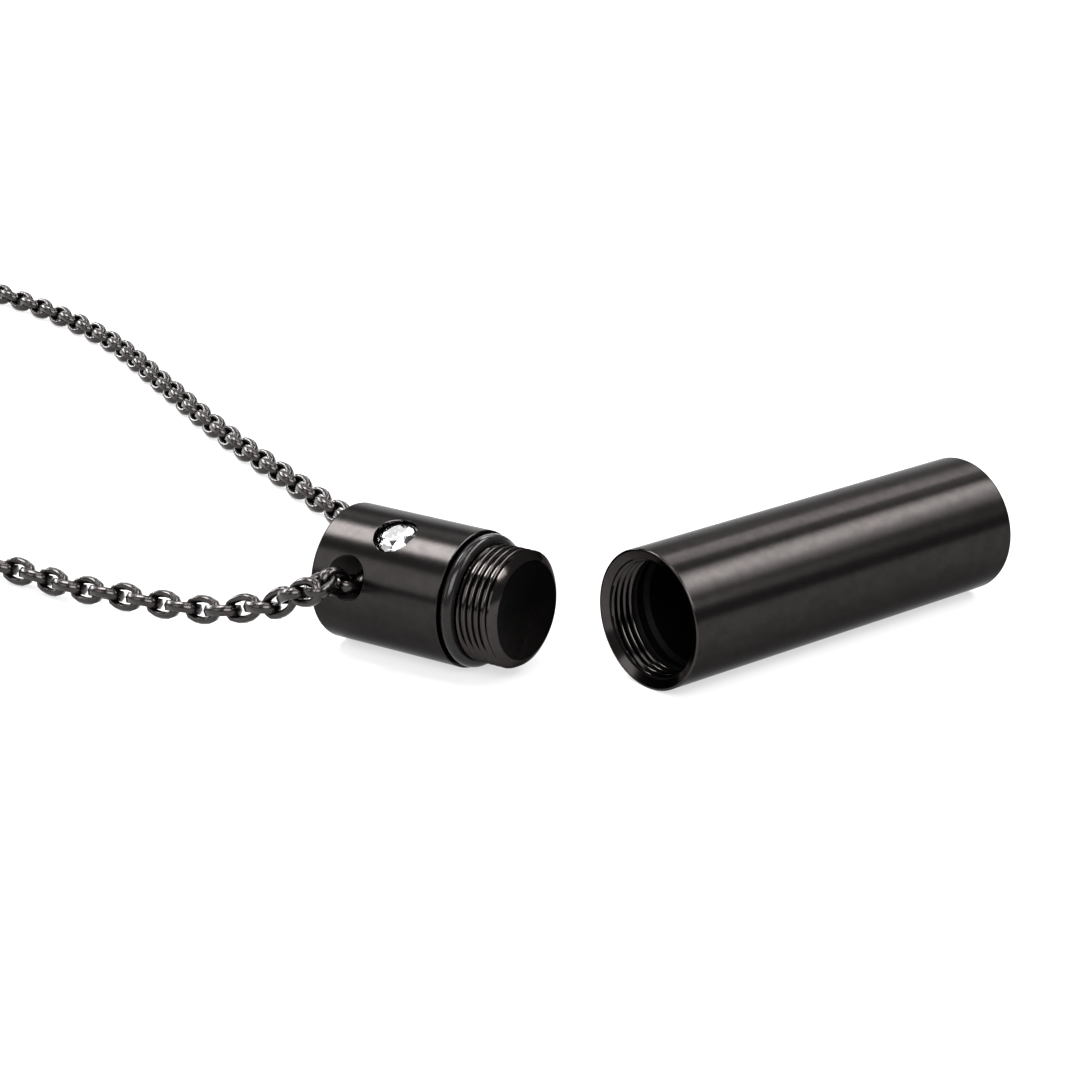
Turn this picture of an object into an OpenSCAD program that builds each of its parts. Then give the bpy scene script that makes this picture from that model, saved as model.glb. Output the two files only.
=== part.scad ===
// Round keepsake capsule on a neck chain. The capsule is unscrewed: the hollow
// tube lies on its side, and the cap lies beside its mouth with the chain
// threaded through the cross bore. Everything rests on the plane z = 0.
// +X runs along the tube from its mouth to its closed end, +Z is up, and the
// origin is under the middle of the whole part. Millimetres and degrees.

/* [Tube] */
// Outer diameter of the tube
tube_d = 10; // [9.8:0.1:10.6]
// Length of the tube
tube_l = 31.5; // [24:0.5:36]
// Thickness of the closed end
end_wall = 2; // [1:0.25:3]
// Outer diameter of the conical seat in the mouth, which closes on the seal ring
seat_d = 9.7; // [9.6:0.02:9.8]
// Depth of the conical seat
seat_l = 0.3; // [0.2:0.05:0.4]
// Diameter of the hollow past the thread
hollow_d = 7.9; // [6:0.1:7.9]

/* [Cap] */
// Diameter of the cap's barrel
barrel_d = 9.8; // [9.6:0.1:10]
// Length of the barrel
barrel_l = 11.1; // [10:0.1:13]
// Length of the threaded end that goes into the tube
spigot_l = 4.2; // [4.1:0.05:4.4]
// Diameter of the flat face at the threaded end
face_d = 7.1; // [6.8:0.1:7.4]

/* [Thread] */
// Distance from one crest to the next
pitch = 0.5; // [0.4:0.05:0.5]
// Crest diameter of the cap's thread
thread_d = 8.4; // [8.3:0.02:8.4]
// Depth of the thread
thread_depth = 0.26; // [0.2:0.02:0.28]
// Turns on the cap
cap_turns = 5; // [4:1:5]
// Turns in the tube
tube_turns = 5; // [4:1:6]
// Radial play between the two threads
thread_play = 0.06; // [0.04:0.01:0.1]

/* [Seal ring] */
// Thickness of the round seal ring
ring_t = 0.96; // [0.8:0.02:1]
// Outer diameter of the seal ring
ring_d = 9.5; // [9.4:0.02:9.6]

/* [Cross bore] */
// Diameter of the bore that the chain runs through
bore_d = 3.3; // [2.6:0.1:3.4]
// Distance from the cap's top end to the middle of the bore
bore_at = 3.05; // [2.5:0.05:3.5]
// Tilt of the bore above the level, on its near side
bore_lean = 15.5; // [10:0.5:20]

/* [Stone] */
// Diameter of the brilliant
stone_d = 2.86; // [2:0.02:3]
// Distance from the cap's top end to the middle of the stone
stone_at = 5.55; // [5.4:0.05:7]
// Angle of the stone above the level, on the cap's near side
stone_lean = 64; // [55:0.5:90]
// Diameter of the drilled recess round the stone
recess_d = 3.24; // [3.1:0.02:3.4]
// Depth of the table below the top of the barrel
table_depth = 0.05; // [0.05:0.01:0.3]

/* [Chain] */
// Height and width that the links take up
chain_t = 1.76; // [1.4:0.02:1.8]

/* [Clasp] */
// Width of the clasp
clasp_w = 3.8; // [3.2:0.1:5]
// Thickness of the clasp
clasp_t = 1.8; // [1.4:0.1:2.4]

/* [Layout] */
// Heading of the cap from its top end to its thread, from the tube's axis
cap_heading = -75.5; // [-80:0.5:-70]

/* [Hidden] */

gunmetal = [0.24, 0.23, 0.23];
rubber_black = [0.04, 0.04, 0.04];
clear_white = [0.93, 0.95, 0.97];

tube_r = tube_d / 2;
barrel_r = barrel_d / 2;
thread_r = thread_d / 2;
edge_break = 0.15;
piece_gap = 0.03;

// The shoulder's middle, seen from the middle of the tube's mouth
shoulder_x = -5.9;
shoulder_y = 11.1;

// Chain
chain_r = chain_t / 2;
chain_sides = 8;
chain_corner_r = chain_r / cos(180 / chain_sides);
rings_per_span = 2;
lie = 0.92;

// Middle line of the chain, from one end of the clasp, along the far strand,
// through the cap and back along the near strand, from the tube's mouth
route = [
    [-97, 162.5, lie], [-101.5, 177, lie], [-99.5, 193, lie], [-90, 206.5, lie],
    [-75.5, 214, lie], [-58.5, 214.8, lie], [-41.5, 210, lie], [-26, 200.5, lie],
    [-11, 188, lie], [2.5, 173, lie], [13, 156, lie], [19.5, 137, lie],
    [21.5, 119, lie], [20, 100, lie], [15.5, 83.5, lie], [11, 68, lie],
    [7.4, 53, lie], [4.8, 41.5, lie], [2.6, 31.5, 0.95], [0.6, 25.6, 1.2],
    [-1.3, 21.8, 2], [-3.9, 19.9, 3.2], [-7.9, 18.9, 4.7], [-10.8, 18.4, 5.15],
    [-14.1, 17.55, 6.6], [-14.7, 17.1, 6.65], [-15.9, 16.85, 6.4], [-16.7, 17.45, 5.85],
    [-16.55, 19.3, 4.9], [-16, 21.35, 4.2], [-16.75, 24.05, 3.15], [-17.6, 27.3, 2.45],
    [-18.55, 31.5, 1.9], [-19.55, 36, 1.6], [-20.65, 41, 1.2], [-21.35, 46, lie],
    [-23.1, 53, lie], [-25.6, 61, lie], [-33.5, 74.5, lie], [-43.5, 92, lie],
    [-56.5, 109.5, lie], [-70.5, 126, lie], [-82.5, 141, lie], [-91.7, 155.2, lie]
];

route_n = len(route);
first_end = route[0];
last_end = route[route_n - 1];

// Direction of the route at point i: the two spans beside it, the nearer counts more
function unit(v) = v / norm(v);
function span(i) = norm(route[i + 1] - route[i]);
function slope(i) =
    i == 0 ? unit(route[1] - route[0]) :
    i == route_n - 1 ? unit(route[i] - route[i - 1]) :
    (unit(route[i] - route[i - 1]) * span(i) + unit(route[i + 1] - route[i]) * span(i - 1))
        / (span(i - 1) + span(i));

// A smooth curve from point i to the next one, for u from 0 to 1
function along(i, u) =
    (2 * pow(u, 3) - 3 * pow(u, 2) + 1) * route[i]
    + (pow(u, 3) - 2 * pow(u, 2) + u) * span(i) * slope(i)
    + (3 * pow(u, 2) - 2 * pow(u, 3)) * route[i + 1]
    + (pow(u, 3) - pow(u, 2)) * span(i) * slope(i + 1);

middle = [
    for (i = [0 : route_n - 2], j = [0 : rings_per_span - 1]) along(i, j / rings_per_span),
    last_end
];
rings = len(middle);

function heading(i) = unit(middle[min(i + 1, rings - 1)] - middle[max(i - 1, 0)]);
function side(i) = unit(cross([0, 0, 1], heading(i)));
function ring_point(i, k) =
    let (turn = (k + 0.5) * 360 / chain_sides)
    middle[i] + chain_corner_r * (cos(turn) * side(i) + sin(turn) * cross(heading(i), side(i)));

chain_points = [for (i = [0 : rings - 1], k = [0 : chain_sides - 1]) ring_point(i, k)];

// The part's middle over the floor, seen from the tube's mouth
low = [min([for (p = chain_points) p.x]), min(-tube_r, min([for (p = chain_points) p.y]))];
high = [max(tube_l, max([for (p = chain_points) p.x])), max([for (p = chain_points) p.y])];
origin = (low + high) / 2;

// Thread profile as shares of a pitch, with the radius from root (0) to crest (1)
thread_form = [[0.1, 0], [0.42, 1], [0.58, 1], [0.9, 0]];

function thread_line(start, turns, root, crest) = [
    for (i = [0 : turns - 1], f = thread_form)
        [root + f[1] * (crest - root), start + (i + f[0]) * pitch]
];

function reversed(list) = [for (i = [len(list) - 1 : -1 : 0]) list[i]];

// Seal ring and the groove that it sits in, behind the shoulder
ring_r = ring_t / 2;
ring_middle_r = ring_d / 2 - ring_r;
ring_z = barrel_l + ring_r + piece_gap;
groove_r = ring_middle_r - ring_r - piece_gap;
groove_end = ring_z + ring_r + 0.05;
thread_start = 1.5;
neck_r = thread_r - thread_depth;
last_turn = barrel_l + thread_start + (cap_turns - 1) * pitch;

cap_profile = concat(
    [[0, 0], [barrel_r - edge_break, 0], [barrel_r, edge_break]],
    [[barrel_r, barrel_l - 0.05], [barrel_r - 0.05, barrel_l], [groove_r, barrel_l]],
    [[groove_r, groove_end], [neck_r, groove_end + neck_r - groove_r]],
    thread_line(barrel_l + thread_start, cap_turns - 1, neck_r, thread_r),
    [for (i = [0 : 2]) [neck_r + thread_form[i][1] * thread_depth, last_turn + thread_form[i][0] * pitch]],
    [[face_d / 2, barrel_l + spigot_l], [0, barrel_l + spigot_l]]
);

// Inside of the tube, from the mouth inwards
inner_crest_r = neck_r + thread_play;
inner_root_r = thread_r + thread_play;
inner_start = seat_l + 0.13;
relief_end = inner_start + tube_turns * pitch + 0.5;
drill_point = 0.6;

tube_profile = concat(
    [[seat_d / 2, 0], [tube_r - 0.05, 0], [tube_r, 0.05], [tube_r, tube_l - edge_break]],
    [[tube_r - edge_break, tube_l], [0, tube_l], [0, tube_l - end_wall]],
    [[hollow_d / 2, tube_l - end_wall - drill_point], [hollow_d / 2, relief_end + 0.3]],
    [[inner_root_r, relief_end], [inner_root_r, inner_start + tube_turns * pitch]],
    reversed(thread_line(inner_start, tube_turns, inner_root_r, inner_crest_r)),
    [[inner_root_r, seat_l]]
);

// Brilliant: shares of its diameter and the levels of its rings of corners
table_r = 0.28 * stone_d;
crown_r = 0.4 * stone_d;
girdle_r = stone_d / 2;
lower_r = 0.1 * stone_d;
crown_h = 0.15 * stone_d;
girdle_h = 0.03 * stone_d;
pavilion_h = 0.43 * stone_d;
crown_rise = crown_h / (girdle_r - table_r);
pavilion_rise = pavilion_h / girdle_r;
crown_z = girdle_h + (girdle_r - crown_r * cos(22.5)) * crown_rise;
lower_z = -(girdle_r - lower_r * cos(22.5)) * pavilion_rise;
girdle_level = barrel_r - table_depth - crown_h - girdle_h;

module place_cap()
    translate([shoulder_x - origin.x, shoulder_y - origin.y, barrel_r])
        rotate([0, 0, cap_heading]) translate([-barrel_l, 0, 0]) rotate([0, 90, 0])
            children();

// Turns a thing that stands on the cap's axis outwards, at a height along the
// cap and an angle above the level on its near side
module outwards(at, lean)
    translate([0, 0, at]) rotate([0, 0, -90 - lean]) rotate([0, 90, 0])
        children();

module tube()
    color(gunmetal)
        translate([-origin.x, -origin.y, tube_r]) rotate([0, 90, 0])
            rotate_extrude($fn = 128) polygon(tube_profile);

module seat_cutter() {
    translate([0, 0, girdle_level - piece_gap])
        cylinder(d = recess_d, h = barrel_r, $fn = 64);
    translate([0, 0, girdle_level - pavilion_h - 2 * piece_gap])
        cylinder(r1 = 0.05, r2 = girdle_r + 2 * piece_gap, h = pavilion_h + 2 * piece_gap, $fn = 64);
}

module cap()
    color(gunmetal) place_cap()
        difference() {
            rotate_extrude($fn = 128) polygon(cap_profile);
            outwards(bore_at, bore_lean)
                cylinder(d = bore_d, h = 2 * barrel_d, center = true, $fn = 64);
            outwards(stone_at, stone_lean) seat_cutter();
        }

module seal_ring()
    color(rubber_black) place_cap() translate([0, 0, ring_z])
        rotate_extrude($fn = 96) translate([ring_middle_r, 0]) circle(r = ring_r, $fn = 32);

module brilliant() {
    corners = concat(
        [for (i = [0 : 7]) [table_r * cos(45 * i), table_r * sin(45 * i), crown_h + girdle_h]],
        [for (i = [0 : 7]) [crown_r * cos(45 * i + 22.5), crown_r * sin(45 * i + 22.5), crown_z]],
        [for (i = [0 : 15]) [girdle_r * cos(22.5 * i), girdle_r * sin(22.5 * i), girdle_h]],
        [for (i = [0 : 15]) [girdle_r * cos(22.5 * i), girdle_r * sin(22.5 * i), 0]],
        [for (i = [0 : 7]) [lower_r * cos(45 * i + 22.5), lower_r * sin(45 * i + 22.5), lower_z]],
        [[0, 0, -pavilion_h]]
    );
    crown = 8;
    top = 16;
    under = 32;
    lower = 48;
    culet = 56;
    facets = concat(
        [[for (i = [7 : -1 : 0]) i]],
        [for (i = [0 : 7]) [i, (i + 1) % 8, crown + i]],
        [for (i = [0 : 7]) [i, crown + i, top + 2 * i, crown + (i + 7) % 8]],
        [for (i = [0 : 7]) [crown + i, top + 2 * i + 1, top + 2 * i]],
        [for (i = [0 : 7]) [crown + i, top + (2 * i + 2) % 16, top + 2 * i + 1]],
        [for (i = [0 : 15]) [top + i, top + (i + 1) % 16, under + (i + 1) % 16, under + i]],
        [for (i = [0 : 7]) [under + 2 * i, under + 2 * i + 1, lower + i]],
        [for (i = [0 : 7]) [under + 2 * i + 1, under + (2 * i + 2) % 16, lower + i]],
        [for (i = [0 : 7]) [under + 2 * i, lower + i, culet, lower + (i + 7) % 8]]
    );
    polyhedron(corners, facets);
}

module stone()
    color(clear_white) place_cap() outwards(stone_at, stone_lean)
        translate([0, 0, girdle_level]) brilliant();

// The chain as one tube of the height and width of its links
module chain() {
    n = chain_sides;
    walls = [
        for (i = [0 : rings - 2], k = [0 : n - 1], half = [0, 1])
            let (a = i * n + k, b = i * n + (k + 1) % n)
            half == 0 ? [a + n, b + n, b] : [a + n, b, a]
    ];
    ends = [[for (k = [0 : n - 1]) k], [for (k = [n - 1 : -1 : 0]) (rings - 1) * n + k]];
    color(gunmetal) translate([-origin.x, -origin.y, 0])
        polyhedron(chain_points, concat(walls, ends));
}

// Closed clasp: one flat claw with an eye at each end for the last links
module clasp() {
    reach = norm(first_end - last_end) / 2 - 5 * piece_gap;
    centre = (first_end + last_end) / 2;
    run = last_end - first_end;
    eye_r = 0.75;
    small_r = 0.4 * clasp_w;
    big_r = clasp_w / 2;
    color(gunmetal)
        translate([centre.x - origin.x, centre.y - origin.y, 0])
            rotate([0, 0, atan2(run.y, run.x)])
                difference() {
                    union() {
                        translate([big_r - reach, 0, 0]) cylinder(r = big_r, h = clasp_t, $fn = 48);
                        translate([reach - small_r, 0, 0]) cylinder(r = small_r, h = clasp_t, $fn = 48);
                        translate([big_r - reach, -small_r, 0])
                            cube([2 * reach - big_r - small_r, 2 * small_r, clasp_t]);
                    }
                    for (x = [eye_r + 0.8 - reach, reach - eye_r - 0.8])
                        translate([x, 0, -1]) cylinder(r = eye_r, h = clasp_t + 2, $fn = 32);
                }
}

tube();
cap();
seal_ring();
stone();
chain();
clasp();
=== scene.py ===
# %% [markdown]
# A keepsake capsule on a neck chain, unscrewed and laid on a white table.
# The capsule is a dark steel tube, and its cap carries a small brilliant and
# hangs on a chain of oval links. The CAD model gives every size and place.
# This lesson dresses it: fine turned metal with real screw threads, the
# links one by one, and finishes that show how each piece was made.

# %% Load the CAD model
import math

import bmesh
import bpy
from mathutils import Matrix, Vector


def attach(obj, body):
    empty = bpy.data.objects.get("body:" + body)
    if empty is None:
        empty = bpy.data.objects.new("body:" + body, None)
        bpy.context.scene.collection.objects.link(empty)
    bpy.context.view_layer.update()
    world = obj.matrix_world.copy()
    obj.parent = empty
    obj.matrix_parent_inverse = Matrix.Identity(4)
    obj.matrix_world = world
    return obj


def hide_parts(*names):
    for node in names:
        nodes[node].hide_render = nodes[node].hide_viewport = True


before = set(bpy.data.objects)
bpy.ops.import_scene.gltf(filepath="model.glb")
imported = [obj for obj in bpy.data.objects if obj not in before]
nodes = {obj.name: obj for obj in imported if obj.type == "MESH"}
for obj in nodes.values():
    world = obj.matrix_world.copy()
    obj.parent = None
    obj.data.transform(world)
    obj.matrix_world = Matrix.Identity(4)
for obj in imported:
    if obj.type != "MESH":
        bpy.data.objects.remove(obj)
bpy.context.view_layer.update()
MM = 0.001

# %% [markdown]
# Two turned pieces lie at an angle to each other, so each gets a frame of
# its own: +Z runs along the piece, as on a lathe. The shapes and the
# brushing are worked out there and then turned into place. The origin of
# the model is under the middle of the chain's loop, which is why the
# tube's mouth has odd numbers here.

# %% Frames of the turned pieces
MOUTH = Vector((35.437, -105.530, 5.0)) * MM
SHOULDER = MOUTH + Vector((-5.9, 11.1, -0.1)) * MM
CAP_HEADING = math.radians(-75.5)
BAR_L = 11.1

lay_down = Matrix.Rotation(math.radians(90), 4, "Y")
tube_frame = Matrix.Translation(MOUTH) @ lay_down
cap_frame = (Matrix.Translation(SHOULDER) @ Matrix.Rotation(CAP_HEADING, 4, "Z")
             @ Matrix.Translation((-BAR_L * MM, 0, 0)) @ lay_down)
print("tube starts at", tube_frame.translation, "cap starts at", cap_frame.translation)

# %% [markdown]
# The cap is drilled twice from the side. Each drill gets a frame too: one
# number says how far along the cap it goes in, one how far it leans from
# the horizontal, so the shape and its finish can share it.

# %% Frames of the drills
BORE_AT, BORE_LEAN = 3.05, 15.5
SEAT_AT, SEAT_LEAN = 5.55, 64


def drill_frame(at, lean):
    """Frame of a hole in the barrel: +Z points out of it, on the near side."""
    return (cap_frame @ Matrix.Translation((0, 0, at * MM))
            @ Matrix.Rotation(math.radians(-90 - lean), 4, "Z") @ Matrix.Rotation(math.radians(90), 4, "Y"))


bore_frame = drill_frame(BORE_AT, BORE_LEAN)
seat_frame = drill_frame(SEAT_AT, SEAT_LEAN)
print("bore points along", bore_frame.col[2].xyz, "seat points along", seat_frame.col[2].xyz)

# %% [markdown]
# The camera stands about 20 cm away and looks down 19 degrees, with a long
# lens: 100 mm on a 36 mm wide sensor. It was solved from the outlines of
# the two cylinders, so it comes as a position, a heading and two angles.

# %% Camera
EYE = Vector((-93.73, -247.42, 76.79)) * MM
LOOK_DOWN = math.radians(18.983)
ROLL = math.radians(0.382)
ahead = Vector((0.6445, 0.7646, 0)).normalized()
across = Vector((ahead.y, -ahead.x, 0))

sight = ahead * math.cos(LOOK_DOWN) - Vector((0, 0, math.sin(LOOK_DOWN)))
below = sight.cross(across)
right = across * math.cos(ROLL) + below * math.sin(ROLL)
up = across * math.sin(ROLL) - below * math.cos(ROLL)

lens = bpy.data.cameras.new("camera")
lens.sensor_width = 36
lens.lens = 100
lens.clip_start = 0.01
camera = bpy.data.objects.new("camera", lens)
bpy.context.scene.collection.objects.link(camera)
camera.matrix_world = Matrix((
    (right.x, up.x, -sight.x, EYE.x),
    (right.y, up.y, -sight.y, EYE.y),
    (right.z, up.z, -sight.z, EYE.z),
    (0, 0, 0, 1)))
bpy.context.scene.camera = camera
print("camera looks along", tuple(round(c, 3) for c in sight))

# %% [markdown]
# Polished metal has hardly any colour of its own: it shows the lamps and
# the dark room between them. So the lamps are placed by what they draw on
# the cylinders, each by the angles that it fills as seen from the capsule.
# The strong boxes on the right and left make the long bright bands, the one
# behind makes the second line along the tube's top, and the weak ones
# beside them shade the bands' edges. Four boxes near the zenith light the
# table and hardly show in the cylinders at all.

# %% Lamps
AIM = Vector((28, -98, 4)) * MM
DISTANCE = 1.6
# Name, azimuths and elevations in degrees, radiance
LAMPS = (
    ("softbox_right", (54, 118), (39, 51), 14.5),
    ("softbox_right_skirt", (70, 118), (31, 39), 2.4),
    ("softbox_far_right", (103, 118), (19, 29), 9.0),
    ("softbox_left", (-75, -38), (45, 62), 25.5),
    ("softbox_stone", (-38, -31), (47, 57), 3.4),
    ("softbox_left_low", (-66, -30), (14, 24), 15.0),
    ("softbox_left_wall", (-118, -90), (8, 37), 2.3),
    ("softbox_back", (14, 34), (36, 48), 7.5),
    ("softbox_back_wall", (-33, 46), (37, 50), 2.2),
    ("softbox_back_skirt", (1, 46), (24, 37), 1.8),
    ("softbox_back_low", (-15, 15), (3, 20), 1.6),
    ("softbox_camera_side", (155, 212), (20, 52), 8.5))
TOP_AZIMUTHS, TOP_SPREAD, TOP_ELEVATIONS, TOP_RADIANCE = (-135, -45, 45, 135), 22, (72, 83), 11.0


def softbox(name, azimuths, elevations, radiance):
    """Area lamp that fills these angles, seen from the capsule; azimuth 0 is straight behind it."""
    a, e = (math.radians(sum(pair) / 2) for pair in (azimuths, elevations))
    wide, high = (math.radians(pair[1] - pair[0]) for pair in (azimuths, elevations))
    way = (ahead * math.cos(a) + across * math.sin(a)) * math.cos(e) + Vector((0, 0, math.sin(e)))
    lamp = bpy.data.lights.new(name, "AREA")
    lamp.shape = "RECTANGLE"
    lamp.size = 2 * DISTANCE * math.tan(wide * math.cos(e) / 2)
    lamp.size_y = 2 * DISTANCE * math.tan(high / 2)
    lamp.energy = 4 * lamp.size * lamp.size_y * radiance
    box = bpy.data.objects.new(name, lamp)
    box.location = AIM + way * DISTANCE
    box.rotation_euler = (-way).to_track_quat("-Z", "Y").to_euler()
    bpy.context.scene.collection.objects.link(box)
    print(name, "power", round(lamp.energy, 1), "W")


for row in LAMPS:
    softbox(*row)
for azimuth in TOP_AZIMUTHS:
    softbox(f"softbox_top_{azimuth}", (azimuth - TOP_SPREAD, azimuth + TOP_SPREAD), TOP_ELEVATIONS,
            TOP_RADIANCE)

# %% [markdown]
# Where no lamp stands, the metal shows the room. Its walls are a dim even
# grey, which keeps the dark parts of the coating from going black. The
# plain colour transform leaves every tone as it was worked out.

# %% Room
ROOM_GREY = 0.3
world = bpy.data.worlds.new("studio")
bpy.context.scene.world = world
world.use_nodes = True
world.node_tree.nodes["Background"].inputs["Color"].default_value = (ROOM_GREY, ROOM_GREY, ROOM_GREY, 1)
bpy.context.scene.view_settings.view_transform = "Standard"
print("lamps:", len(LAMPS) + len(TOP_AZIMUTHS), "room grey:", ROOM_GREY)

# %% [markdown]
# No real surface is the same all over. Every material here lets a pattern
# drift its colour and its gloss a little, and raises a fine relief, so
# those steps get helpers: one adds a node and sets its inputs by name, one
# starts a material with its Principled BSDF, and one adds the drift.

# %% Material helpers


def add(tree, kind, **values):
    """A new node. Values set its inputs by name, or a property where no input has that name."""
    node = tree.nodes.new(kind)
    for name, value in values.items():
        socket = name.replace("_", " ")
        if socket in node.inputs:
            node.inputs[socket].default_value = value
        else:
            setattr(node, name, value)
    return node


def principled(name, **values):
    """A new material and its Principled BSDF."""
    material = bpy.data.materials.new(name)
    material.use_nodes = True
    shader = material.node_tree.nodes["Principled BSDF"]
    for key, value in values.items():
        shader.inputs[key.replace("_", " ")].default_value = value
    return material, shader


def drift(tree, shader, tone_by, marks_by, tones, roughness, relief):
    """One socket mixes the two tones; the other drifts the roughness and raises the relief."""
    tone = add(tree, "ShaderNodeMix", data_type="RGBA")
    tone.inputs["A"].default_value = (*tones[0], 1)
    tone.inputs["B"].default_value = (*tones[1], 1)
    gloss = add(tree, "ShaderNodeMapRange", To_Min=roughness[0], To_Max=roughness[1])
    bump = add(tree, "ShaderNodeBump", Strength=1.0, Distance=relief)
    tree.links.new(tone_by, tone.inputs["Factor"])
    tree.links.new(marks_by, gloss.inputs["Value"])
    tree.links.new(marks_by, bump.inputs["Height"])
    tree.links.new(tone.outputs["Result"], shader.inputs["Base Color"])
    tree.links.new(gloss.outputs["Result"], shader.inputs["Roughness"])
    tree.links.new(bump.outputs["Normal"], shader.inputs["Normal"])


# %% [markdown]
# Turning and brushing leave fine rings round a piece. An image of them would
# have a seam and would blur close up, so a node group makes them from
# noise: stretched round the local Z axis, it is quick along the piece and
# slow around it. A second, even noise gives the coating's cloudy patches.

# %% Turning marks
AROUND_PER_METRE, PATCHES_PER_METRE = 260, 1300

turning = bpy.data.node_groups.new("turning_marks", "ShaderNodeTree")
turning.interface.new_socket("Vector", in_out="INPUT", socket_type="NodeSocketVector")
turning.interface.new_socket("Rings per mm", in_out="INPUT", socket_type="NodeSocketFloat")
turning.interface.new_socket("Marks", in_out="OUTPUT", socket_type="NodeSocketFloat")
turning.interface.new_socket("Patches", in_out="OUTPUT", socket_type="NodeSocketFloat")
into = add(turning, "NodeGroupInput")
out = add(turning, "NodeGroupOutput")
per_metre = add(turning, "ShaderNodeMath", operation="MULTIPLY")
per_metre.inputs[1].default_value = 1000
stretch = add(turning, "ShaderNodeCombineXYZ", X=AROUND_PER_METRE, Y=AROUND_PER_METRE)
rings = add(turning, "ShaderNodeVectorMath", operation="MULTIPLY")
marks = add(turning, "ShaderNodeTexNoise", Scale=1, Detail=3, Roughness=0.65)
patches = add(turning, "ShaderNodeTexNoise", Scale=PATCHES_PER_METRE, Detail=4, Roughness=0.6)
turning.links.new(into.outputs["Rings per mm"], per_metre.inputs[0])
turning.links.new(per_metre.outputs[0], stretch.inputs["Z"])
turning.links.new(into.outputs["Vector"], rings.inputs[0])
turning.links.new(stretch.outputs[0], rings.inputs[1])
turning.links.new(rings.outputs[0], marks.inputs["Vector"])
turning.links.new(into.outputs["Vector"], patches.inputs["Vector"])
turning.links.new(marks.outputs["Fac"], out.inputs["Marks"])
turning.links.new(patches.outputs["Fac"], out.inputs["Patches"])
print("turning marks:", len(turning.nodes), "nodes")

# %% [markdown]
# The capsule is steel with a thin gunmetal coating. Outside it is brushed to
# a satin, which stretches the highlights along the piece; the threads are
# turned smooth. Metal grows brighter at grazing angles, and a tint below
# one holds that back, as a rough coating does. A Mapping node takes each
# pattern into the frame of its own piece.

# %% Turned metals
DARKER, LIGHTER = 0.65, 1.35
GLOSSIER, DULLER = 0.85, 1.15
GUNMETAL, POLISHED = (0.0226, 0.0206, 0.0202), (0.036, 0.0324, 0.0316)
SATIN = {"roughness": 0.245, "rings_per_mm": 20, "relief": 5e-8, "stretch": 0.6}
SMOOTH = {"roughness": 0.13, "rings_per_mm": 25, "relief": 3e-8, "tint": 0.4}


def turned_metal(name, place, colour, roughness, rings_per_mm, relief, stretch=0.0, tint=1.0):
    """Dark steel with turning marks round the Z axis of the given frame; stretch draws gloss along it."""
    material, shader = principled(name, Metallic=1.0, Anisotropic=stretch,
                                  Specular_Tint=(tint, tint, tint, 1))
    tree = material.node_tree
    if stretch:
        axis = place.to_3x3() @ Vector((0, 0, 1))
        lengthwise = add(tree, "ShaderNodeCombineXYZ", X=axis.x, Y=axis.y, Z=axis.z)
        tree.links.new(lengthwise.outputs[0], shader.inputs["Tangent"])
    where = add(tree, "ShaderNodeTexCoord")
    local = add(tree, "ShaderNodeMapping", vector_type="TEXTURE",
                Location=place.translation, Rotation=place.to_euler())
    pattern = add(tree, "ShaderNodeGroup", node_tree=turning)
    pattern.inputs["Rings per mm"].default_value = rings_per_mm
    tree.links.new(where.outputs["Object"], local.inputs["Vector"])
    tree.links.new(local.outputs["Vector"], pattern.inputs["Vector"])
    tones = [tuple(c * share for c in colour) for share in (DARKER, LIGHTER)]
    drift(tree, shader, pattern.outputs["Patches"], pattern.outputs["Marks"], tones,
          (roughness * GLOSSIER, roughness * DULLER), relief)
    print(name, "has", rings_per_mm, "rings per mm")
    return material


tube_satin = turned_metal("tube_satin", tube_frame, GUNMETAL, tint=0.48, **SATIN)
cap_satin = turned_metal("cap_satin", cap_frame, GUNMETAL, tint=0.54, **SATIN)
tube_thread = turned_metal("tube_thread", tube_frame, POLISHED, **SMOOTH)
cap_thread = turned_metal("cap_thread", cap_frame, POLISHED, **SMOOTH)
drilled = turned_metal("drilled", bore_frame, (0.11, 0.102, 0.098),
                       roughness=0.62, rings_per_mm=9, relief=3e-7)
bright_rim = turned_metal("bright_rim", seat_frame, (0.05, 0.0465, 0.0455),
                          roughness=0.25, rings_per_mm=4, relief=1e-7)
# Near-black painted shade for the inside of the tube: a band behind the mouth's cone, the deep thread, the
# relief and the chamber.
painted_shade_black = turned_metal("painted_shade_black", tube_frame, (0.0045, 0.0042, 0.0041),
                             roughness=0.6, rings_per_mm=12, relief=3e-7, tint=0.1)
end_black = turned_metal("end_black", cap_frame, (0.011, 0.0102, 0.01),
                         roughness=0.42, rings_per_mm=5, relief=1e-7, tint=0.3)

# %% [markdown]
# Rubber, chain and table carry no turning marks. Moulding and tumbling
# leave soft clouds instead: slightly duller and glossier patches with a
# faint unevenness. One noise group gives them at any size.

# %% Clouds
clouding = bpy.data.node_groups.new("clouds", "ShaderNodeTree")
clouding.interface.new_socket("Vector", in_out="INPUT", socket_type="NodeSocketVector")
clouding.interface.new_socket("Per metre", in_out="INPUT", socket_type="NodeSocketFloat")
clouding.interface.new_socket("Cloud", in_out="OUTPUT", socket_type="NodeSocketFloat")
into = add(clouding, "NodeGroupInput")
out = add(clouding, "NodeGroupOutput")
cloud = add(clouding, "ShaderNodeTexNoise", Detail=3, Roughness=0.55)
clouding.links.new(into.outputs["Vector"], cloud.inputs["Vector"])
clouding.links.new(into.outputs["Per metre"], cloud.inputs["Scale"])
clouding.links.new(cloud.outputs["Fac"], out.inputs["Cloud"])


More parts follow.
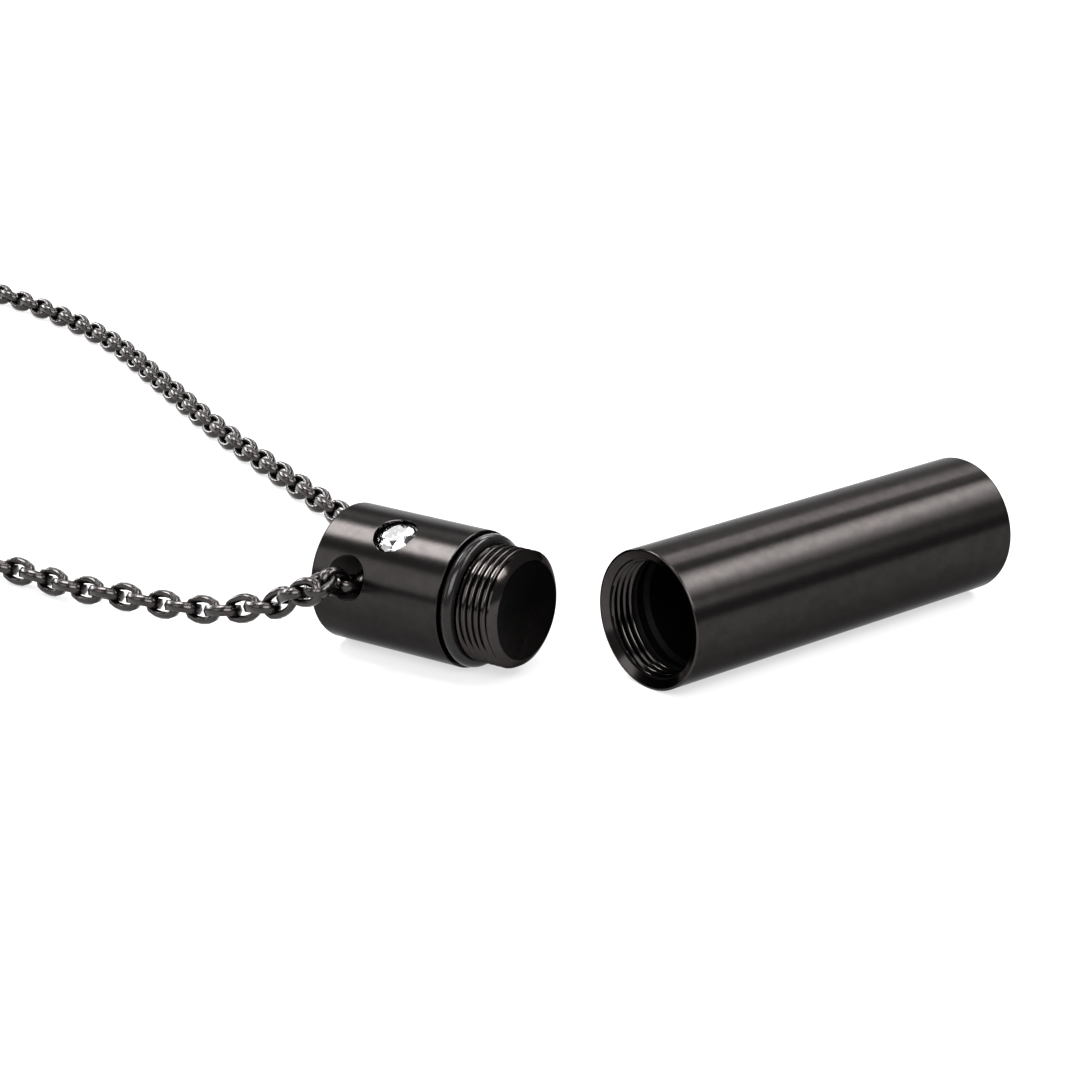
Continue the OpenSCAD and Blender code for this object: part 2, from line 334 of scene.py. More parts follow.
def clouded(name, dark, light, roughness, per_metre, relief, **values):
    """A finish whose colour and gloss drift between two values; roughness is a pair."""
    material, shader = principled(name, **values)
    tree = material.node_tree
    where = add(tree, "ShaderNodeTexCoord")
    clouds = add(tree, "ShaderNodeGroup", node_tree=clouding)
    clouds.inputs["Per metre"].default_value = per_metre
    tree.links.new(where.outputs["Object"], clouds.inputs["Vector"])
    drift(tree, shader, clouds.outputs["Cloud"], clouds.outputs["Cloud"], (dark, light), roughness, relief)
    print(name, "has", per_metre, "clouds per metre")
    return material


# %% [markdown]
# The seal ring keeps water out of the closed capsule. It is smooth moulded
# rubber with a weak gloss, so its specular level is turned down. Its shape
# comes ready from the CAD model and only needs the finish.

# %% Rubber
seal_black = clouded("seal_black", (0.004, 0.0037, 0.0036), (0.009, 0.0082, 0.008),
                     roughness=(0.12, 0.2), per_metre=1500, relief=2e-7, Specular_IOR_Level=0.2)

# %% [markdown]
# The stone is clear, with sharp flat facets. Its sparkle is light that goes
# in through the top, turns round on the facets underneath and comes out
# again. At three millimetres across that breaks into many small bright and
# dark splinters, more than the facets alone give here, so a Voronoi pattern
# paints them into the glass's colour cell by cell: painted sparkle.

# %% Stone
PAINTED_SPARKLE_PER_METRE = 2900
brilliant, cut_glass = principled("brilliant", IOR=2.2, Transmission_Weight=1.0)
stone_tree = brilliant.node_tree
stone_place = add(stone_tree, "ShaderNodeTexCoord")
# Painted sparkle: the cells tint the glass light or dark.
painted_sparkle_cells = add(stone_tree, "ShaderNodeTexVoronoi", Scale=PAINTED_SPARKLE_PER_METRE)
painted_sparkle_tone = add(stone_tree, "ShaderNodeMapRange", From_Min=0.2, From_Max=0.75)
stone_colour = add(stone_tree, "ShaderNodeMix", data_type="RGBA")
stone_colour.inputs["A"].default_value = (0.06, 0.06, 0.066, 1)
stone_colour.inputs["B"].default_value = (0.52, 0.515, 0.53, 1)
stone_gloss = add(stone_tree, "ShaderNodeMapRange", To_Min=0.0, To_Max=0.03)
stone_tree.links.new(stone_place.outputs["Object"], painted_sparkle_cells.inputs["Vector"])
stone_tree.links.new(painted_sparkle_cells.outputs["Color"], painted_sparkle_tone.inputs["Value"])
stone_tree.links.new(painted_sparkle_cells.outputs["Color"], stone_gloss.inputs["Value"])
stone_tree.links.new(painted_sparkle_tone.outputs["Result"], stone_colour.inputs["Factor"])
stone_tree.links.new(stone_colour.outputs["Result"], cut_glass.inputs["Base Color"])
stone_tree.links.new(stone_gloss.outputs["Result"], cut_glass.inputs["Roughness"])

for node, material in (("seal_ring", seal_black), ("stone", brilliant)):
    nodes[node].data.materials.clear()
    nodes[node].data.materials.append(material)
    print(node, "is finished with", material.name)

# %% [markdown]
# A turned piece is a profile carried round an axis, and this lesson makes
# it just so: the profile is a list of radii and heights, every entry turns
# into a row of points, and faces join row to row. A Screw modifier could
# carry the profile round too, but all its rows would climb together, and
# here only the thread's rows may climb.

# %% Turned shapes
COLUMNS = 192
MERGE, DEGENERATE = 1e-7, 1e-8


def piece_from(name, grid, materials, slot_of):
    """A closed mesh from rows of points; slot_of gives each face's material slot from its middle."""
    shell = bmesh.new()
    rows = [[shell.verts.new(point) for point in row] for row in grid]
    for low, high in zip(rows, rows[1:]):
        for corners in zip(low, low[1:], high[1:], high):
            shell.faces.new(corners)
    bmesh.ops.remove_doubles(shell, verts=shell.verts, dist=MERGE)
    bmesh.ops.dissolve_degenerate(shell, edges=shell.edges, dist=DEGENERATE)
    bmesh.ops.recalc_face_normals(shell, faces=shell.faces)
    for face in shell.faces:
        face.material_index = slot_of(face.calc_center_median())
    mesh = bpy.data.meshes.new(name)
    shell.to_mesh(mesh)
    shell.free()
    for material in materials:
        mesh.materials.append(material)
    piece = bpy.data.objects.new(name, mesh)
    bpy.context.scene.collection.objects.link(piece)
    return piece


def turned(profile, place, columns=COLUMNS):
    """Rows of points round a frame's Z axis; each stop of the profile is a radius and height in mm,
    or a function that gives them for a share of the turn."""
    grid = []
    for stop in profile:
        row = []
        for j in range(columns + 1):
            turn = j / columns
            radius, height = stop(turn) if callable(stop) else stop
            angle = 2 * math.pi * (turn if j < columns else 0)
            row.append(place @ (Vector((radius * math.cos(angle), radius * math.sin(angle), height)) * MM))
        grid.append(row)
    return grid


# %% [markdown]
# The screw threads show clearly on both halves, so they are cut as real
# helices. Their rows climb by one pitch in a turn; at the seam each row
# meets the next turn's, and the doubles merge. The form is a list of pairs:
# the share of the pitch, and how far the row has risen from root to crest.

# %% Screw threads
THREAD = ((0.12, 0), (0.26, 0.4), (0.36, 0.78), (0.43, 0.95), (0.48, 1), (0.52, 1), (0.57, 0.95),
          (0.64, 0.78), (0.74, 0.4), (0.88, 0))
PITCH = 0.54
FADE = 0.15


def thread_rows(start, turns, root, crest, low, high):
    """Rows of a right-hand thread between two heights; its crest rises over the first FADE mm."""
    def row(k, share, rise):
        def stop(turn):
            height = start + (k + share + turn) * PITCH
            if not low < height < high:
                return root, min(max(height, low), high)
            fade = min(1, (height - low) / FADE)
            return root + (crest - root) * rise * fade, height
        return stop
    return [row(k, share, rise) for k in range(-1, turns) for share, rise in THREAD]


print("thread:", len(THREAD), "rows a turn, pitch", PITCH, "mm")

# %% [markdown]
# Two more steps of the workshop: taking tools out of a piece, and the last
# look at its edges. A Boolean with the exact solver leaves clean holes, and
# edges sharper than 40 degrees stay crisp while the rest shades smooth.

# %% Cut and dress
SHARP_ANGLE = math.radians(40)


def cut(piece, tools):
    """Takes the tools out of a piece; each new face keeps the tool's material slot."""
    for tool in tools:
        knife = piece.modifiers.new(tool.name, "BOOLEAN")
        knife.operation = "DIFFERENCE"
        knife.solver = "EXACT"
        knife.object = tool
    done = bpy.data.meshes.new_from_object(piece.evaluated_get(bpy.context.evaluated_depsgraph_get()))
    piece.modifiers.clear()
    piece.data = done
    for tool in tools:
        bpy.data.objects.remove(tool)


def dress(piece, node):
    """Smooth faces with sharp edges, and the CAD node that the piece stands for."""
    piece.data.shade_smooth()
    piece.data.set_sharp_from_angle(angle=SHARP_ANGLE)
    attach(piece, "root")
    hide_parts(node)
    used = sorted({face.material_index for face in piece.data.polygons})
    print(piece.name, "has", len(piece.data.polygons), "faces in material slots", used)


# %% [markdown]
# The tube is the capsule's body, bored from one end. Its mouth is a shallow
# cone that closes on the seal ring, then come the thread, a relief for the
# tool and the deep chamber with the drill's cone at its floor. The mouth
# faces the camera, so the inside is made as fully as the outside: one
# profile goes along the outside and comes back through the bore.

# %% Tube
TUBE_R, TUBE_L = 5.0, 31.5
CHAMBER_R, CHAMBER_FLOOR = 3.95, 29.5
INNER_ROOT, INNER_CREST, INNER_END = 4.26, 4.0, 2.93
outside = [(4.85, 0), (4.93, 0), (4.975, 0.022), (TUBE_R, 0.07), (TUBE_R, 0.12), (TUBE_R, 8), (TUBE_R, 16),
           (TUBE_R, 24), (TUBE_R, 31.3), (TUBE_R, 31.35), (4.955, 31.455), (4.85, TUBE_L), (0, TUBE_L)]
chamber = [(0, CHAMBER_FLOOR), (CHAMBER_R, 28.9), (CHAMBER_R, 16), (CHAMBER_R, 3.73), (INNER_ROOT, 3.43),
           (INNER_ROOT, INNER_END)]
inner_thread = thread_rows(start=0.07, turns=6, root=INNER_ROOT, crest=INNER_CREST, low=0.32, high=INNER_END)
mouth = [(INNER_ROOT, 0.3), (4.28, 0.29), (4.83, 0.01), (4.85, 0)]
profile = outside + chamber + inner_thread[::-1] + mouth

SATIN_SLOT, SMOOTH_SLOT, PAINTED_SHADE_SLOT = range(3)
SKIN_R, SKIN_FROM, END_FROM = 4.9, 0.06, 31.4
# Inside the tube only the mouth's cone and the front of the thread keep the smooth finish; the rest gets
# near-black painted shade.
CONE_TO, UNSHADED_FROM, UNSHADED_TO = 0.28, 0.4, 2.25


def tube_slot(middle):
    """Satin outside and on the closed end; smooth on the mouth's cone and the front of the thread;
    near-black painted shade in a band behind the cone, on the deep thread, in the relief and in the chamber.
    """
    place = tube_frame.inverted() @ middle / MM
    if place.z > SKIN_FROM and math.hypot(place.x, place.y) > SKIN_R or place.z > END_FROM:
        return SATIN_SLOT
    return SMOOTH_SLOT if place.z < CONE_TO or UNSHADED_FROM < place.z < UNSHADED_TO else PAINTED_SHADE_SLOT


tube = piece_from("tube_fine", turned(profile, tube_frame), [tube_satin, tube_thread, painted_shade_black],
                  tube_slot)
dress(tube, "tube")

# %% [markdown]
# The cap is turned from solid bar: the barrel, a groove for the seal ring
# and a threaded spigot. The bar is left a little long at first, because
# the end is faced later, together with its chamfer.

# %% Cap, turned
BAR_R, NECK_R, CREST_R, SPIGOT_L = 4.9, 3.94, 4.2, 4.2
GROOVE_R, GROOVE_TO = 3.76, 12.12
END = BAR_L + SPIGOT_L
LEFT_ON = 0.2
cap_metals = [cap_satin, cap_thread, drilled, bright_rim, end_black]
DRILLED_SLOT, RIM_SLOT, FACED_SLOT = 2, 3, 4
barrel = [(0, 0), (4.75, 0), (4.855, 0.045), (BAR_R, 0.15), (BAR_R, 0.2), (BAR_R, 4), (BAR_R, 8),
          (BAR_R, 11), (BAR_R, 11.05), (4.85, BAR_L)]
groove = [(GROOVE_R, BAR_L), (GROOVE_R, GROOVE_TO), (NECK_R, 12.17)]
outer_thread = thread_rows(start=BAR_L + 1.11, turns=7, root=NECK_R, crest=CREST_R,
                           low=BAR_L + 1.08, high=END + LEFT_ON)
profile = barrel + groove + outer_thread + [(NECK_R, END + LEFT_ON), (0, END + LEFT_ON)]


def cap_slot(middle):
    """Satin on the barrel, smooth from the groove on."""
    return SATIN_SLOT if (cap_frame.inverted() @ middle).z / MM < BAR_L - 0.01 else SMOOTH_SLOT


cap = piece_from("cap_fine", turned(profile, cap_frame), cap_metals, cap_slot)
print("cap is", round(END, 2), "mm long, and", LEFT_ON, "mm are left on to be faced")

# %% [markdown]
# Then the cap is drilled twice: across for the chain, and from the side for
# the stone. The drills' edges are broken with a fine chamfer, and round the
# stone that chamfer is cut bright. The tools are solids, and each hands
# its own finish to the faces that it cuts, in the order of the workshop.

# %% Cap, drilled
EDGE_COLUMNS = 96
BORE_R, SEAT_R, LEDGE_R = 1.65, 1.62, 1.49
BORE_BREAK, SEAT_BREAK, THROUGH = 0.035, 0.045, 7
STONE_WIDE, CROWN_SHARE, STONE_SUNK = 2.86, 0.18, 0.05
GIRDLE = BAR_R - STONE_SUNK - CROWN_SHARE * STONE_WIDE
LEDGE = GIRDLE - 0.03


def edge_tool(name, place, radius, size, side, slot):
    """A ring of square section that lies on the edge between a hole and the barrel."""
    grid = []
    for j in range(EDGE_COLUMNS + 1):
        angle = 2 * math.pi * (j % EDGE_COLUMNS) / EDGE_COLUMNS
        away = Vector((math.cos(angle), math.sin(angle), 0))
        level = side * math.sqrt(BAR_R**2 - (radius * math.sin(angle))**2)
        edge = away * radius + Vector((0, 0, level))
        out = Vector((0, 0, side))
        square = (away, out, -away, -out, away)
        grid.append([place @ ((edge + corner * size) * MM) for corner in square])
    return piece_from(name, grid, cap_metals, lambda middle: slot)


def seat_slot(middle):
    """The drill's cone and ledge are bright, and its wall is smooth."""
    return RIM_SLOT if (seat_frame.inverted() @ middle).z < GIRDLE * MM - 1e-6 else SMOOTH_SLOT


def facing_slot(middle):
    """The faced end is black, and its chamfer is smooth."""
    return FACED_SLOT if (cap_frame.inverted() @ middle).z / MM > END - 0.001 else SMOOTH_SLOT


bore_rows = turned([(0, -THROUGH), (BORE_R, -THROUGH), (BORE_R, THROUGH), (0, THROUGH)],
                   bore_frame, EDGE_COLUMNS)
seat_rows = turned([(0, GIRDLE - 1.3), (LEDGE_R, LEDGE), (SEAT_R, LEDGE), (SEAT_R, 6), (0, 6)],
                   seat_frame, EDGE_COLUMNS)
facing_rows = turned([(0, END), (3.49, END), (3.57, END - 0.025), (4.6, END - 0.66), (4.6, END + 1),
                      (0, END + 1)], cap_frame)
tools = [
    piece_from("bore_drill", bore_rows, cap_metals, lambda middle: DRILLED_SLOT),
    edge_tool("bore_edge_near", bore_frame, BORE_R, BORE_BREAK, 1, DRILLED_SLOT),
    edge_tool("bore_edge_far", bore_frame, BORE_R, BORE_BREAK, -1, DRILLED_SLOT),
    piece_from("seat_drill", seat_rows, cap_metals, seat_slot),
    edge_tool("seat_edge", seat_frame, SEAT_R, SEAT_BREAK, 1, RIM_SLOT),
    piece_from("end_facing", facing_rows, cap_metals, facing_slot)]
cut(cap, tools)
dress(cap, "cap")

# %% [markdown]
# The chain follows a route of points in mm, counted from under the tube's
# mouth. It is the CAD source's route, raised a little, so that links which
# stand on edge just rest on the table. Near the bore the odd numbers place
# each link where the real chain has it. Between two points runs a cubic
# that leaves and arrives along the mean direction of the spans beside it.

# %% Route of the chain
LIE, LIE_NEAR = 0.99, 1.06
ROUTE = [
    (-97, 162.5, LIE), (-101.5, 177, LIE), (-99.5, 193, LIE), (-90, 206.5, LIE),
    (-75.5, 214, LIE), (-58.5, 214.8, LIE), (-41.5, 210, LIE), (-26, 200.5, LIE),
    (-11, 188, LIE), (2.5, 173, LIE), (13, 156, LIE), (19.5, 137, LIE),
    (21.5, 119, LIE), (20, 100, LIE), (15.5, 83.5, LIE), (11, 68, LIE),
    (7.4, 53, LIE), (4.8, 41.5, 1.03), (2.6, 31.5, 1.07), (0.6, 25.6, 1.28),
    (-1.3, 21.8, 2), (-3.9, 19.9, 3.2), (-7.9, 18.9, 4.7), (-12.36, 18.09, 5.64),
    (-14.59, 17.49, 6.53), (-15.07, 17.07, 6.25), (-15.71, 16.79, 6.31), (-16.11, 17.77, 5.88),
    (-15.56, 19.63, 5.38), (-16.21, 20.92, 3.94), (-16.17, 22.09, 3.87), (-17.02, 25.14, 2.85),
    (-18.36, 30.77, 1.97), (-19.55, 36, 1.6), (-20.65, 41, 1.2), (-21.35, 46, LIE_NEAR),
    (-23.1, 53, LIE_NEAR), (-25.6, 61, LIE_NEAR), (-33.5, 74.5, LIE_NEAR), (-43.5, 92, LIE_NEAR),
    (-56.5, 109.5, LIE_NEAR), (-70.5, 126, LIE_NEAR), (-82.5, 141, LIE_NEAR), (-91.7, 155.2, LIE_NEAR)]
STEPS = 16
ground = Vector((MOUTH.x, MOUTH.y, 0))
stops = [ground + Vector(p) * MM for p in ROUTE]


def directions(points):
    """Unit direction of the route at each point; the nearer neighbour counts more."""
    spans = [b - a for a, b in zip(points, points[1:])]
    ways = [spans[0].normalized()]
    for before, after in zip(spans, spans[1:]):
        ways.append(before.normalized() * after.length + after.normalized() * before.length)
        ways[-1] /= before.length + after.length
    return ways + [spans[-1].normalized()]


def smooth_line(points):
    """Points along the cubics between the given points, STEPS to a span."""
    ways, line = directions(points), []
    for a, b, out_way, in_way in zip(points, points[1:], ways, ways[1:]):
        for k in range(STEPS):
            u, length = k / STEPS, (b - a).length
            line.append((2 * u**3 - 3 * u**2 + 1) * a + (u**3 - 2 * u**2 + u) * length * out_way
                        + (3 * u**2 - 2 * u**3) * b + (u**3 - u**2) * length * in_way)
    return line + [points[-1]]


line = smooth_line(stops)
route = bpy.data.curves.new("chain_route", "CURVE")
route.dimensions = "3D"
spline = route.splines.new("POLY")
spline.points.add(len(line) - 1)
for point, place in zip(spline.points, line):
    point.co = (*place, 1)
chain = bpy.data.objects.new("chain_links", route)
bpy.context.scene.collection.objects.link(chain)
chain_length = sum((b - a).length for a, b in zip(line, line[1:]))
print("chain runs", round(chain_length / MM, 1), "mm")

# %% [markdown]
# Two hundred and fifty links could be copied by hand or by a loop, but a
# Geometry Nodes tree does it with named sizes that can be changed at any
# time. Lean and Rest are the angles of even and odd links about the chain,
# a quarter turn apart. Wobble is a small chance on top, and Twist is how
# far the chain winds about itself between the two lengths near the bore.

# %% Sizes of the links
START, LINK_PITCH = 1.0 * MM, 1.95 * MM
LINK_SIZES = {
    "Start": START, "Pitch": LINK_PITCH, "Link length": 3.09 * MM, "Link width": 2.15 * MM,
    "Wire": 0.57 * MM, "Wire depth": 0.9 * MM, "Lean": 0.87, "Rest": -0.7, "Wobble": 0.07,
    "Twist": 1.11, "Twist start": 300 * MM, "Twist end": 349 * MM}
links_tree = bpy.data.node_groups.new("link_chain", "GeometryNodeTree")
links_tree.is_modifier = True
face = links_tree.interface
face.new_socket("Geometry", in_out="INPUT", socket_type="NodeSocketGeometry")
for label in LINK_SIZES:
    face.new_socket(label, in_out="INPUT", socket_type="NodeSocketFloat")
face.new_socket("Seed", in_out="INPUT", socket_type="NodeSocketInt")
face.new_socket("Metal", in_out="INPUT", socket_type="NodeSocketMaterial")
face.new_socket("Geometry", in_out="OUTPUT", socket_type="NodeSocketGeometry")
given = add(links_tree, "NodeGroupInput").outputs
join = links_tree.links.new
print("link tree takes", len(given) - 1, "inputs")

# %% [markdown]
# One link is a ring of points pulled apart into an oval: its left half goes
# left and its right half goes right, with a soft change between. The wire
# is swept along it. Its section is deeper than wide, because the real
# links are heavy for their size.

# %% One link
RING_POINTS, WIRE_POINTS = 16, 6
PULL = 0.65


def maths(operation, a, b):
    """A Math node between two sockets or numbers; gives its output."""
    node = add(links_tree, "ShaderNodeMath", operation=operation)
    for socket, value in zip(node.inputs, (a, b)):
        if isinstance(value, (int, float)):
            socket.default_value = value
        else:
            join(value, socket)
    return node.outputs[0]


ring = add(links_tree, "GeometryNodeCurvePrimitiveCircle", Resolution=RING_POINTS)
ring_radius = maths("MULTIPLY", maths("SUBTRACT", given["Link width"], given["Wire"]), 0.5)
join(ring_radius, ring.inputs["Radius"])
spot = add(links_tree, "ShaderNodeSeparateXYZ")
join(add(links_tree, "GeometryNodeInputPosition").outputs[0], spot.inputs[0])
half = maths("MULTIPLY", maths("SUBTRACT", given["Link length"], given["Link width"]), 0.5)
pull = add(links_tree, "ShaderNodeMapRange")
shift = add(links_tree, "ShaderNodeCombineXYZ")
join(spot.outputs["X"], pull.inputs["Value"])
join(maths("MULTIPLY", ring_radius, -PULL), pull.inputs["From Min"])
join(maths("MULTIPLY", ring_radius, PULL), pull.inputs["From Max"])
join(maths("MULTIPLY", half, -1), pull.inputs["To Min"])
join(half, pull.inputs["To Max"])
join(pull.outputs["Result"], shift.inputs["X"])
oval = add(links_tree, "GeometryNodeSetPosition")
join(ring.outputs["Curve"], oval.inputs["Geometry"])
join(shift.outputs[0], oval.inputs["Offset"])
wire = add(links_tree, "GeometryNodeCurvePrimitiveCircle", Resolution=WIRE_POINTS)
join(maths("MULTIPLY", given["Wire"], 0.5), wire.inputs["Radius"])
deeper = add(links_tree, "ShaderNodeCombineXYZ", X=1, Z=1)
join(maths("DIVIDE", given["Wire depth"], given["Wire"]), deeper.inputs["Y"])
pressed = add(links_tree, "GeometryNodeTransform")
join(wire.outputs["Curve"], pressed.inputs["Geometry"])
join(deeper.outputs[0], pressed.inputs["Scale"])
link = add(links_tree, "GeometryNodeCurveToMesh")
join(oval.outputs["Geometry"], link.inputs["Curve"])
join(pressed.outputs["Geometry"], link.inputs["Profile Curve"])
print("a link has", RING_POINTS * WIRE_POINTS, "faces")

# %% [markdown]
# Links hang in each other at equal distances, so the route is cut into
# equal stretches of one pitch, and each link lies on the straight chord
# between the two ends of its stretch.

# %% Chords of the route
length = add(links_tree, "GeometryNodeCurveLength")
join(given["Geometry"], length.inputs[0])
room = maths("SUBTRACT", length.outputs[0], given["Start"])
count = maths("FLOOR", maths("DIVIDE", room, given["Pitch"]), 0)
number = add(links_tree, "GeometryNodeInputIndex").outputs[0]
ends = []
for extra in (0, 1):
    sample = add(links_tree, "GeometryNodeSampleCurve", mode="LENGTH")
    join(given["Geometry"], sample.inputs["Curves"])
    reach = maths("MULTIPLY", maths("ADD", number, extra), given["Pitch"])
    join(maths("ADD", reach, given["Start"]), sample.inputs["Length"])
    ends.append(sample.outputs["Position"])
middle = add(links_tree, "ShaderNodeMix", data_type="VECTOR")
along = add(links_tree, "ShaderNodeVectorMath", operation="SUBTRACT")
middle.inputs["Factor"].default_value = 0.5
for end, socket, other in zip(ends, ("A", "B"), (1, 0)):
    vector_socket = [s for s in middle.inputs if s.name == socket and s.type == "VECTOR"][0]
    join(end, vector_socket)
    join(end, along.inputs[other])
print("chord nodes:", len(ends), "samples of the route")

# %% [markdown]
# Now each link turns about its chord: even ones by Lean, odd ones by Rest,
# all by the twist that builds up along the route, and each by its own small
# chance, because no real chain lies quite evenly.

# %% Turn of each link
lay = add(links_tree, "FunctionNodeAxesToRotation", primary_axis="X", secondary_axis="Z",
          Secondary_Axis=(0, 0, 1))
join(along.outputs[0], lay.inputs["Primary Axis"])
odd = maths("MODULO", number, 2)
quarter = maths("ADD", given["Lean"],
                maths("MULTIPLY", odd, maths("SUBTRACT", given["Rest"], given["Lean"])))
twist = add(links_tree, "ShaderNodeMapRange")
join(maths("ADD", maths("MULTIPLY", number, given["Pitch"]), given["Start"]), twist.inputs["Value"])
for socket, label in (("From Min", "Twist start"), ("From Max", "Twist end"), ("To Max", "Twist")):
    join(given[label], twist.inputs[socket])
chance = add(links_tree, "FunctionNodeRandomValue", data_type="FLOAT")
low_socket, high_socket = [s for s in chance.inputs if s.type == "VALUE"][:2]
join(maths("MULTIPLY", given["Wobble"], -1), low_socket)
join(given["Wobble"], high_socket)
join(given["Seed"], chance.inputs["Seed"])
wobble = [s for s in chance.outputs if s.type == "VALUE"][0]
roll = add(links_tree, "FunctionNodeAxisAngleToRotation", Axis=(1, 0, 0))
join(maths("ADD", maths("ADD", quarter, twist.outputs["Result"]), wobble), roll.inputs["Angle"])
turn = add(links_tree, "FunctionNodeRotateRotation", rotation_space="LOCAL")
join(lay.outputs[0], turn.inputs["Rotation"])
join(roll.outputs[0], turn.inputs["Rotate By"])

places = add(links_tree, "GeometryNodePoints")
join(count, places.inputs["Count"])
join(middle.outputs[1], places.inputs["Position"])
copies = add(links_tree, "GeometryNodeInstanceOnPoints")
join(places.outputs[0], copies.inputs["Points"])
join(link.outputs[0], copies.inputs["Instance"])
join(turn.outputs[0], copies.inputs["Rotation"])
real = add(links_tree, "GeometryNodeRealizeInstances")
soft = add(links_tree, "GeometryNodeSetShadeSmooth")
coat = add(links_tree, "GeometryNodeSetMaterial")
join(copies.outputs[0], real.inputs[0])
join(real.outputs[0], soft.inputs[0])
join(soft.outputs[0], coat.inputs["Geometry"])
join(given["Metal"], coat.inputs["Material"])
join(coat.outputs[0], add(links_tree, "NodeGroupOutput").inputs[0])
print("link tree:", len(links_tree.nodes), "nodes")

# %% [markdown]
# The links are polished before they are coated, so they are glossier than
# the capsule. The modifier gets its sizes by socket identifier, and its
# result becomes a plain mesh that stands for the CAD tube of the chain.

# %% Chain
SEED = 7
link_metal = clouded("link_metal", (0.034, 0.0308, 0.0302), (0.052, 0.0475, 0.0465),
                     roughness=(0.19, 0.3), per_metre=1100, relief=6e-7, Metallic=1.0)
modifier = chain.modifiers.new("links", "NODES")
modifier.node_group = links_tree
socket_id = {s.name: s.identifier for s in links_tree.interface.items_tree if s.in_out == "INPUT"}
for label, size in (*LINK_SIZES.items(), ("Seed", SEED), ("Metal", link_metal)):
    modifier[socket_id[label]] = size
evaluated = chain.evaluated_get(bpy.context.evaluated_depsgraph_get())
mesh = bpy.data.meshes.new_from_object(evaluated)
bpy.data.objects.remove(chain)
links = bpy.data.objects.new("chain_links", mesh)
bpy.context.scene.collection.objects.link(links)
links.data.materials.clear()
links.data.materials.append(link_metal)
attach(links, "root")
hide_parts("chain")
links_made = len(mesh.polygons) // (RING_POINTS * WIRE_POINTS)
print("links:", links_made, "faces:", len(mesh.polygons))

# %% [markdown]
# The clasp closes the loop far behind, out of the camera's view. It is one
# plain flat claw with an eye at each end. How the real one looks isn't
# known, so it stays this plain. Its outline runs round both ends, and rows
# of it at several levels make the plate with its rounded edge.

# %% Claw
claw_start, claw_end = stops[0], stops[-1]
REACH, BIG_R, SMALL_R = 4.36, 1.9, 1.52
EYE_R, EYE_IN, EYE_THROUGH = 0.75, 1.55, 2
ARC_STEPS, EYE_COLUMNS = 24, 48
# How far each row lies inside the outline, and its level
CLAW_ROWS = ((1.4, -0.47), (0.14, -0.47), (0.03, -0.42), (0, -0.3),
             (0, 0.3), (0.03, 0.42), (0.14, 0.47), (1.4, 0.47))
claw_frame = (Matrix.Translation((claw_start + claw_end) / 2)
              @ (claw_end - claw_start).to_track_quat("X", "Z").to_matrix().to_4x4())


def claw_outline(inset, level):
    """The claw's outline: two round ends and the straight sides between them."""
    row = []
    for centre, radius, middle in ((REACH - SMALL_R, SMALL_R, 0), (BIG_R - REACH, BIG_R, math.pi)):
        for k in range(ARC_STEPS + 1):
            angle = middle + math.pi * (k / ARC_STEPS - 0.5)
            along_x, along_y = (radius - inset) * math.cos(angle), (radius - inset) * math.sin(angle)
            row.append((centre + along_x, along_y, level))
    return [claw_frame @ (Vector(point) * MM) for point in row + row[:1]]


def eye_drill(side):
    """The drill for the eye at one end of the claw."""
    place = claw_frame @ Matrix.Translation((side * (REACH - EYE_IN) * MM, 0, 0))
    rows = turned([(0, -EYE_THROUGH), (EYE_R, -EYE_THROUGH), (EYE_R, EYE_THROUGH), (0, EYE_THROUGH)],
                  place, EYE_COLUMNS)
    return piece_from(f"eye_{side}", rows, [link_metal], lambda middle: 0)


claw = piece_from("clasp_fine", [claw_outline(*row) for row in CLAW_ROWS], [link_metal], lambda middle: 0)
closing = bmesh.new()
closing.from_mesh(claw.data)
bmesh.ops.holes_fill(closing, edges=closing.edges, sides=0)
bmesh.ops.recalc_face_normals(closing, faces=closing.faces)
closing.to_mesh(claw.data)
closing.free()
cut(claw, [eye_drill(side) for side in (-1, 1)])
dress(claw, "clasp")

# %% [markdown]
# A jump ring joins each eye to the chain's last link. A stretched torus
# would flatten its wire, so the closed oval is made from rows as well: here
# a row goes round the wire, and the rows follow one another along the ring.

# %% Jump rings
JUMP_HIGH, JUMP_WIRE = 1.4, 0.4
INTO_CLAW, PAST_CLAW = 1.05, 0.4
JUMP_STEPS, JUMP_COLUMNS = 32, 10


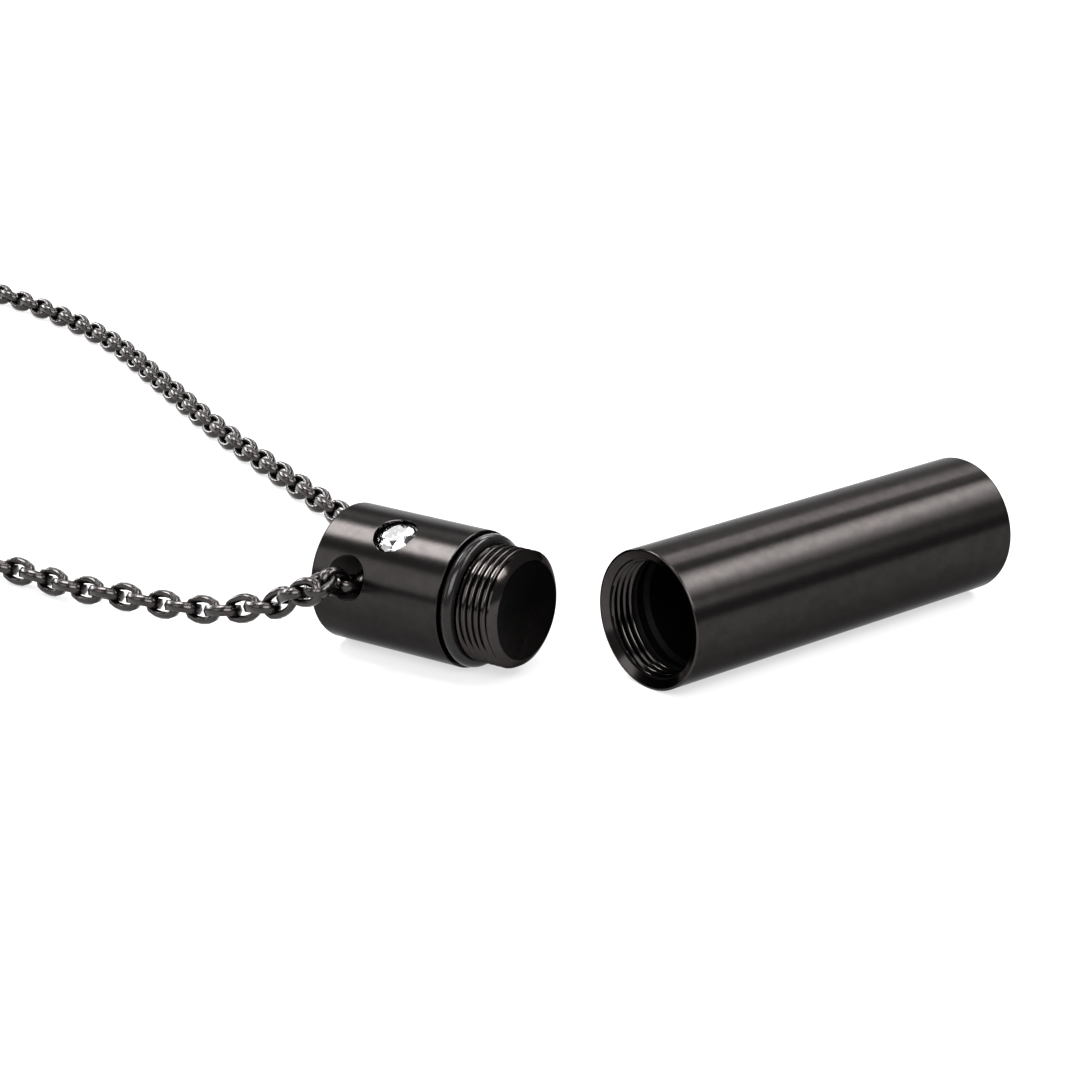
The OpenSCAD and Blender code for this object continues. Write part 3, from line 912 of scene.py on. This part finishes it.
def wire_ring(name, place, long, high, thick):
    """A closed oval ring of round wire in the frame's XZ plane; sizes over its middle line."""
    grid = []
    around = [2 * math.pi * (k % JUMP_COLUMNS) / JUMP_COLUMNS for k in range(JUMP_COLUMNS + 1)]
    for j in range(JUMP_STEPS + 1):
        angle = 2 * math.pi * (j % JUMP_STEPS) / JUMP_STEPS
        out = Vector((math.cos(angle), 0, math.sin(angle)))
        middle = out * high / 2 + Vector((math.copysign((long - high) / 2, out.x), 0, 0))
        grid.append([place @ ((middle + (out * math.cos(a) + Vector((0, math.sin(a), 0))) * thick / 2) * MM)
                     for a in around])
    return piece_from(name, grid, [link_metal], lambda middle: 0)


spare = chain_length - START - links_made * LINK_PITCH
for side, name, first_link in ((-1, "jump_ring_far", START), (1, "jump_ring_near", spare)):
    inner, outer = REACH - INTO_CLAW, REACH + PAST_CLAW + first_link / MM
    ring_frame = claw_frame @ Matrix.Translation((side * (inner + outer) / 2 * MM, 0, 0))
    jump_ring = wire_ring(name, ring_frame, outer - inner, JUMP_HIGH, JUMP_WIRE)
    jump_ring.data.shade_smooth()
    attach(jump_ring, "root")
    print(jump_ring.name, "is", round(outer - inner + JUMP_WIRE, 2), "mm long")

# %% [markdown]
# The table is a wide white sheet. It is so much larger than the jewellery
# that its edge never comes into view. The ground is meant to be pure
# white, so the sheet also glows a little, as a light table does.

# %% Table
HALF_WIDE = 5
sheet = bpy.data.meshes.new("table")
sheet.from_pydata([(-HALF_WIDE, -HALF_WIDE, 0), (HALF_WIDE, -HALF_WIDE, 0),
                   (HALF_WIDE, HALF_WIDE, 0), (-HALF_WIDE, HALF_WIDE, 0)], [], [(0, 1, 2, 3)])
table = bpy.data.objects.new("table", sheet)
bpy.context.scene.collection.objects.link(table)
white = clouded("table_white", (0.24, 0.24, 0.24), (0.27, 0.27, 0.27), roughness=(0.8, 0.95),
                per_metre=40, relief=1e-5, Emission_Color=(1, 1, 1, 1), Emission_Strength=0.6)
table.data.materials.append(white)
print("table is", 2 * HALF_WIDE, "m wide")
